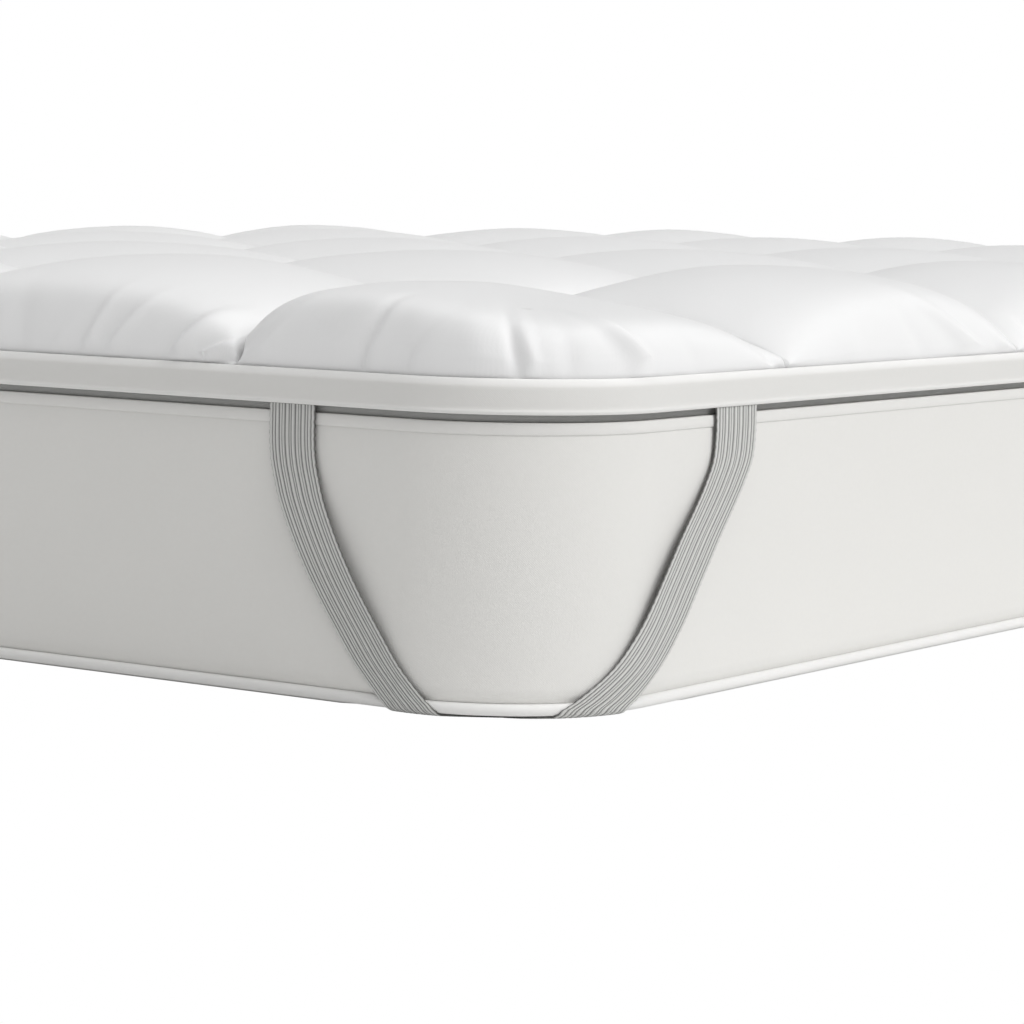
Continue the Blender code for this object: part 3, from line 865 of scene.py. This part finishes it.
# Height up the wall, and distance round the outline from the corner's middle
Fall = namedtuple("Fall", "up along")
SHORT_WALL_FALL = (
    Fall(0.174, 0.181),
    Fall(0.159, 0.179),
    Fall(0.145, 0.1745),
    Fall(0.132, 0.1692),
    Fall(0.109, 0.157),
    Fall(0.082, 0.1413),
    Fall(0.054, 0.1237),
    Fall(0.032, 0.109),
    Fall(0.014, 0.093),
)
LONG_WALL_FALL = (
    Fall(0.178, 0.193),
    Fall(0.161, 0.189),
    Fall(0.145, 0.1765),
    Fall(0.132, 0.1635),
    Fall(0.109, 0.140),
    Fall(0.082, 0.1180),
    Fall(0.054, 0.0995),
    Fall(0.032, 0.081),
    Fall(0.014, 0.0575),
)


def half_strap(falls, shift):
    """Half a strap's middle line from the band to under the corner: along, down, lean, turn."""
    level = EDGE_LENGTH / 2 - STRAP_SOLE - EDGE_RADIUS
    last_down = -EDGE_LENGTH / 2
    rows = [Fall(band_bottom - HAIR, falls[0].along), *falls]
    for step in range(4):
        down = EDGE_LENGTH * (0.5 - step / 3)
        rows.append(Fall(down - level, UNDER_HALF + shift + (down - last_down) * math.tan(EDGE_LEAN)))
    line = [(rows[0].along, rows[0].up + level, 0.0, 0.0)]
    for before, here, after in zip(rows, rows[1:], rows[2:]):
        lean = math.atan2(before.along - after.along, before.up - after.up)
        line.append((here.along, here.up + level, lean, 0.0))
    line.append((UNDER_HALF + shift, last_down, EDGE_LEAN, 0.0))
    radius = UNDER_HALF / math.cos(EDGE_LEAN)
    for step in (1, 2, 3):
        lean = EDGE_LEAN + (math.pi / 2 - EDGE_LEAN) * step / 3
        depth = radius * (math.sin(lean) - math.sin(EDGE_LEAN))
        line.append((radius * math.cos(lean) + shift, last_down - depth, lean, math.pi / 2 * step / 3))
    return np.array(line)


def evened(line, spacing):
    """A smooth line through the given rows, with rows at an even spacing."""
    padded = np.vstack([2 * line[0] - line[1], line, 2 * line[-1] - line[-2]])
    fine = []
    for number in range(1, len(padded) - 2):
        before, here, after, beyond = padded[number - 1 : number + 3]
        for part in np.linspace(0, 1, 24, endpoint=False):
            fine.append(
                0.5
                * (
                    2 * here
                    + (after - before) * part
                    + (2 * before - 5 * here + 4 * after - beyond) * part**2
                    + (3 * here - before - 3 * after + beyond) * part**3
                )
            )
    fine = np.array([*fine, line[-1]])
    run_so_far = np.concatenate([[0.0], np.cumsum(np.hypot(*np.diff(fine[:, 0:2], axis=0).T))])
    count = round(run_so_far[-1] / spacing)
    places = np.linspace(0, run_so_far[-1], count + 1)
    return np.column_stack([np.interp(places, run_so_far, fine[:, part]) for part in range(4)]), places


def on_mattress(along, down, raised):
    """Where a point lies on the first corner's wall, lower edge or sole, raised outwards."""
    quarter = CORNER_RADIUS * math.pi / 4
    angle = np.clip(math.pi / 4 - along / CORNER_RADIUS, 0, math.pi / 2)
    past = np.maximum(0, np.abs(along) - quarter)
    centre_x = WIDTH / 2 - CORNER_RADIUS - np.where(along > 0, 0, past)
    centre_y = LENGTH / 2 - CORNER_RADIUS - np.where(along > 0, past, 0)
    tip = np.clip((EDGE_LENGTH / 2 - down) / EDGE_RADIUS, 0, math.pi / 2)
    radius = EDGE_RADIUS + raised
    out = STRAP_OUT - EDGE_RADIUS + radius * np.cos(tip) - np.maximum(0, -down - EDGE_LENGTH / 2)
    up = STRAP_SOLE + EDGE_RADIUS - radius * np.sin(tip) + np.maximum(0, down - EDGE_LENGTH / 2)
    reach = CORNER_RADIUS + out
    return np.stack([centre_x + reach * np.cos(angle), centre_y + reach * np.sin(angle), up], axis=1)


def strap_section():
    """Across, raised and rib height round the section: ribbed outside, plain inside."""
    rows = []
    points = RIB_COUNT * POINTS_A_RIB
    for number in range(points + 1):
        swing = math.sin(RIB_SWING * number / POINTS_A_RIB) * math.sin(math.pi * number / points)
        across = STRAP_WIDTH * (0.5 - (number + RIB_UNEVEN * POINTS_A_RIB * swing) / points)
        rib = abs(math.sin(math.pi * number / POINTS_A_RIB)) ** RIB_ROUND
        rows.append((across, STRAP_THICKNESS - RIB_RELIEF * (1 - rib), rib))
    for number in range(INSIDE_STEPS + 1):
        rows.append((STRAP_WIDTH * (number / INSIDE_STEPS - 0.5), 0.0, 0.0))
    return np.array([*rows, rows[0]])


def make_elastic():
    """Grey elastic: pale cords, coloured near black between them as painted shade in the grooves,
    crossed by fine threads.
    """
    finish = cloth_finish(
        "ribbed_elastic_finish",
        STRAP_COLOUR,
        darker=0.16,
        roughness=0.8,
        sheen=0.1,
        pitch=0.0013,
        relief=0.0003,
    )
    tree = finish.tree
    rib = tree.nodes.new("ShaderNodeAttribute")
    rib.attribute_name = "rib"
    groove_shaded = tree.nodes.new("ShaderNodeMix")
    groove_shaded.data_type = "RGBA"
    groove_shaded.inputs["A"].default_value = (*GROOVE_SHADE_COLOUR, 1.0)
    tree.links.new(finish.tint.outputs["Result"], groove_shaded.inputs["B"])
    tree.links.new(rib.outputs["Fac"], groove_shaded.inputs["Factor"])
    tree.links.new(groove_shaded.outputs["Result"], finish.shader.inputs["Base Color"])
    return finish.material


ribbed_elastic = make_elastic()
long_half, long_run = evened(half_strap(LONG_WALL_FALL, -UNDER_SHIFT), STRAP_STEP)
short_half, short_run = evened(half_strap(SHORT_WALL_FALL, UNDER_SHIFT), STRAP_STEP)
strap_line = np.vstack([long_half, short_half[-2::-1]])
strap_side = np.concatenate([np.ones(len(long_half)), -np.ones(len(short_half) - 1)])
strap_run = np.concatenate([long_run, long_run[-1] + short_run[-1] - short_run[-2::-1]])
bow_top = LONG_WALL_FALL[0].up - EDGE_LENGTH / 2
section = strap_section()

for number, (side_x, side_y) in enumerate(((1, -1), (1, 1), (-1, 1), (-1, -1)), start=1):
    strap, strap_row, section_row = cloth_strip(
        "corner_elastic_%d" % number, len(strap_line) - 1, len(section) - 1
    )
    line_along, line_down, lean, turn = strap_line[strap_row].T
    across, raised, rib = section[section_row].T
    ragged = RAGGED_OUT * np.sin(2 * np.pi * strap_run[strap_row] / RAGGED_LENGTH + number)
    near_edge = np.abs(2 * across / STRAP_WIDTH) ** RAGGED_EDGE
    across = across + ragged * near_edge * np.sign(across)
    under = line_down < -EDGE_LENGTH / 2
    ring_radius = CORNER_RADIUS + line_down + EDGE_LENGTH / 2
    squeeze = np.where(under, ring_radius / CORNER_RADIUS, 1.0)
    under_share = turn / (np.pi / 2)
    spread = np.where(strap_side[strap_row] > 0, LONG_WALL_SPREAD, SHORT_WALL_SPREAD)
    stretch = spread * (1 - under_share) + under_share / np.cos(lean - turn)
    along = line_along + across * stretch * np.cos(turn) / squeeze
    down = line_down - across * stretch * np.sin(turn)
    part = np.clip((down - EDGE_LENGTH / 2) / bow_top, 0, 1)
    off_wall = STRAP_BOW * np.sin(np.pi * part) ** 2
    points = on_mattress(along * strap_side[strap_row], down, raised + off_wall)
    lay_points(strap, points * np.array([side_x, side_y, 1.0]))
    lay_pattern(strap, across, strap_run[strap_row])
    rib_height = strap.data.attributes.new("rib", "FLOAT", "POINT")
    rib_height.data.foreach_set("value", rib.astype(np.float32))
    sew_shut(strap, sharp_angle=70)
    strap.data.materials.append(ribbed_elastic)
    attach(strap, "root")
    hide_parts("corner_strap_%d" % number)

# The setting: a plain white floor and surround, a broad key light from the right, a fainter one
# from above, and the camera near the floor by the near corner.
FLOOR_SIZE = 40.0
FLOOR_DROP = 0.0003
FLOOR_COLOUR = (0.9, 0.9, 0.9, 1.0)
KEY_STRENGTH = 1.75
KEY_SOFTNESS = math.radians(45)
KEY_FROM = Vector((0.72, 0.12, 0.68))
TOP_STRENGTH = 0.60
TOP_SOFTNESS = math.radians(35)
TOP_FROM = Vector((0.0, -0.32, 0.95))
SURROUND_STRENGTH = 0.32
CAMERA_PLACE = (1.960, -2.790, 0.348)
CAMERA_LENS = 121.47
CAMERA_PITCH = math.radians(5.521)
CAMERA_ROLL = math.radians(1.096)
LEVEL_RIGHT = Vector((0.8220, 0.5694, 0.0))
LEVEL_AHEAD = Vector((-0.5694, 0.8220, 0.0))

bpy.ops.object.select_all(action="DESELECT")
bpy.ops.mesh.primitive_plane_add(size=FLOOR_SIZE, location=(0.0, 0.0, -FLOOR_DROP))
floor = bpy.context.active_object
floor.name = "floor"
floor_finish = bpy.data.materials.new("white_floor")
floor_finish.use_nodes = True
floor_tree = floor_finish.node_tree
floor_tree.nodes.clear()
seen = floor_tree.nodes.new("ShaderNodeLightPath")
white = floor_tree.nodes.new("ShaderNodeEmission")
matt = floor_tree.nodes.new("ShaderNodeBsdfDiffuse")
matt.inputs["Color"].default_value = FLOOR_COLOUR
either = floor_tree.nodes.new("ShaderNodeMixShader")
floor_out = floor_tree.nodes.new("ShaderNodeOutputMaterial")
floor_tree.links.new(seen.outputs["Is Camera Ray"], either.inputs["Fac"])
floor_tree.links.new(matt.outputs["BSDF"], either.inputs[1])
floor_tree.links.new(white.outputs["Emission"], either.inputs[2])
floor_tree.links.new(either.outputs["Shader"], floor_out.inputs["Surface"])
floor.data.materials.append(floor_finish)

surround = bpy.data.worlds.new("white_surround")
surround.use_nodes = True
bpy.context.scene.world = surround
sky_tree = surround.node_tree
sky_tree.nodes.clear()
sky_seen = sky_tree.nodes.new("ShaderNodeLightPath")
sky_strength = maths(
    sky_tree,
    "MULTIPLY_ADD",
    sky_seen.outputs["Is Camera Ray"],
    1 - SURROUND_STRENGTH,
    SURROUND_STRENGTH,
)
sky = sky_tree.nodes.new("ShaderNodeBackground")
sky.inputs["Color"].default_value = (1.0, 1.0, 1.0, 1.0)
sky_out = sky_tree.nodes.new("ShaderNodeOutputWorld")
sky_tree.links.new(sky_strength, sky.inputs["Strength"])
sky_tree.links.new(sky.outputs["Background"], sky_out.inputs["Surface"])

for light_name, strength, softness, comes_from in (
    ("key_light", KEY_STRENGTH, KEY_SOFTNESS, KEY_FROM),
    ("top_light", TOP_STRENGTH, TOP_SOFTNESS, TOP_FROM),
):
    light_data = bpy.data.lights.new(light_name, "SUN")
    light_data.energy = strength
    light_data.angle = softness
    light = bpy.data.objects.new(light_name, light_data)
    light.rotation_mode = "QUATERNION"
    light.rotation_quaternion = comes_from.to_track_quat("Z", "Y")
    bpy.context.scene.collection.objects.link(light)

camera_data = bpy.data.cameras.new("photo_camera")
camera_data.lens = CAMERA_LENS
camera_data.sensor_width = 36.0
camera_data.clip_start = 0.05
camera_data.clip_end = 100.0
camera = bpy.data.objects.new("photo_camera", camera_data)
bpy.context.scene.collection.objects.link(camera)
bpy.context.scene.camera = camera
upright = Vector((0.0, 0.0, 1.0))
ahead = LEVEL_AHEAD * math.cos(CAMERA_PITCH) - upright * math.sin(CAMERA_PITCH)
above = upright * math.cos(CAMERA_PITCH) + LEVEL_AHEAD * math.sin(CAMERA_PITCH)
right = LEVEL_RIGHT * math.cos(CAMERA_ROLL) + above * math.sin(CAMERA_ROLL)
above = above * math.cos(CAMERA_ROLL) - LEVEL_RIGHT * math.sin(CAMERA_ROLL)
turned = Matrix((right, above, -ahead)).transposed().to_4x4()
camera.matrix_world = Matrix.Translation(CAMERA_PLACE) @ turned
bpy.context.scene.view_settings.view_transform = "Standard"
